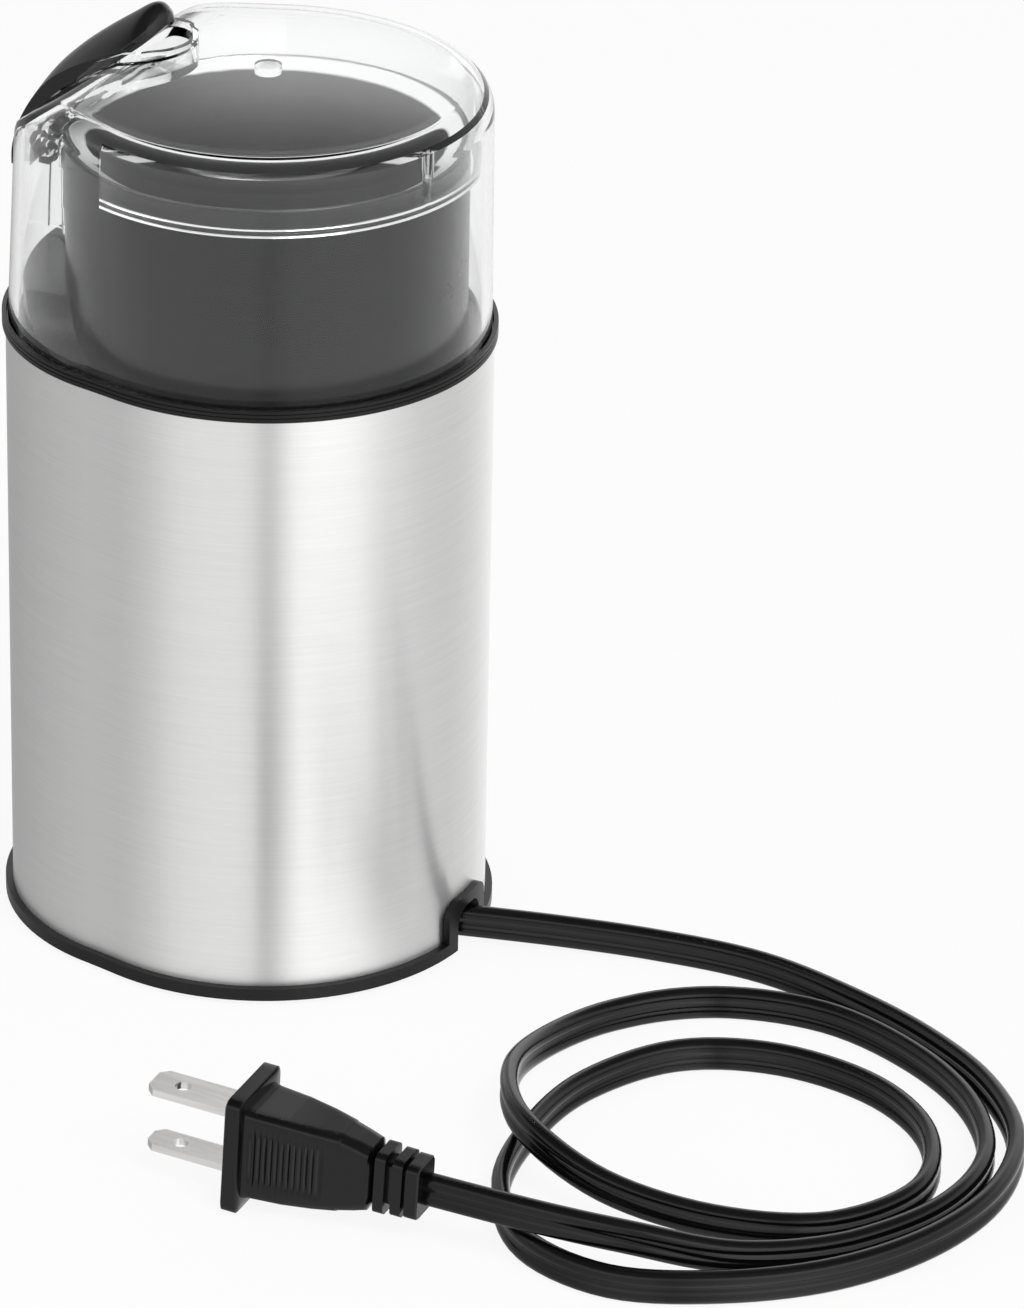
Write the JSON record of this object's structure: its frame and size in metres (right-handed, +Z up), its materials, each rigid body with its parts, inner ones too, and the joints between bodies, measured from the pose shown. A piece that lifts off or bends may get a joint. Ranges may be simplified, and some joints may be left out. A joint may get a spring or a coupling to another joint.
{
  "type": "electric spice grinder",
  "caption": "Small electric grinder: steel-clad oval body, steel bowl with a two-wing blade, clear lid with a hinged press lever, motor inside, flat cord and plug",
  "frame": {"origin": "centre of the base's footprint on the floor, taken without the cord and plug", "axes": "+Z up through the lid, +X towards the cord outlet, -X towards the hinge of the lid's lever, Y across the body"},
  "size_m": [0.2397, 0.1653, 0.1933],
  "materials": {
    "brushed_steel": "brushed round the body, satin",
    "black_plastic": "satin moulded",
    "black_rubber": "matte",
    "bright_steel": "smooth bright",
    "grey_plastic": "satin moulded",
    "bowl_steel": "fine brushed inside",
    "lamination_steel": "dull stacked sheets",
    "copper_wire": "lacquered wire",
    "copper_bars": "turned copper",
    "dark_nylon": "satin",
    "cast_aluminium": "cast, dull",
    "brass_sheet": "pressed sheet",
    "carbon": "dull carbon",
    "white_plastic": "moulded",
    "clear_plastic": "clear, polished",
    "gloss_black": "glossy moulded",
    "cord_black": "satin flexible",
    "lead_sleeve": "sleeved leads",
    "plated_brass": "pale plated"
  },
  "bodies": {
    "housing": {"steel_shell": "brushed_steel", "base_cover": "black_plastic", "rubber_feet": "black_rubber", "base_screws": "bright_steel", "top_ring": "black_plastic", "upper_housing": "grey_plastic", "grinding_bowl": "bowl_steel", "bowl_seal": "black_rubber", "stator_core": "lamination_steel", "field_coils": "copper_wire", "upper_bracket": "cast_aluminium", "lower_bracket": "cast_aluminium", "motor_dampers": "black_rubber", "motor_screws": "bright_steel", "upper_bearing": "bright_steel", "lower_bearing": "bright_steel", "brush_holders": "brass_sheet", "carbon_brushes": "carbon", "brush_springs": "bright_steel", "switch_case": "white_plastic", "cord_bush": "cord_black", "cord_clamp": "dark_nylon", "clamp_screws": "bright_steel", "inner_leads": "lead_sleeve", "power_cord": "cord_black", "plug_body": "cord_black", "plug_blades": "plated_brass"},
    "rotor": {"motor_shaft": "bright_steel", "rotor_core": "lamination_steel", "rotor_windings": "copper_wire", "commutator": "copper_bars", "cooling_fan": "dark_nylon", "blade": "bright_steel", "blade_hub": "bright_steel", "blade_nut": "bright_steel"},
    "lid": {"lid_shell": "clear_plastic", "lever_pin": "bright_steel"},
    "lever": {"push_lever": "gloss_black"},
    "rod": {"push_rod": "dark_nylon"},
    "plunger": {"switch_plunger": "dark_nylon", "plunger_spring": "bright_steel"}
  },
  "joints": [
    {"name": "lid_lift", "type": "slide", "parent": "housing", "child": "lid", "axis": [0, 0, 1], "range_m": [0, 0.06]},
    {"name": "lever_press", "type": "hinge", "parent": "lid", "child": "lever", "pos_m": [-0.0459, 0, 0.1615], "axis": [0, 1, 0], "range_deg": [0, 5], "stiffness_Nm_per_rad": 0.3, "springref_deg": -2.86},
    {"name": "rod_slide", "type": "slide", "parent": "lid", "child": "rod", "axis": [0, 0, -1], "range_m": [0, 0.00056]},
    {"name": "plunger_slide", "type": "slide", "parent": "housing", "child": "plunger", "axis": [0, 0, -1], "range_m": [0, 0.00056], "deforming": ["plunger_spring"]},
    {"name": "rotor_spin", "type": "hinge", "parent": "housing", "child": "rotor", "pos_m": [0.004, 0, 0.08], "axis": [0, 0, 1], "continuous": true}
  ],
  "couplings": [
    {"joint": "rod_slide", "follows": "lever_press", "m_per_rad": 0.0063},
    {"joint": "plunger_slide", "follows": "lever_press", "m_per_rad": 0.0063}
  ]
}
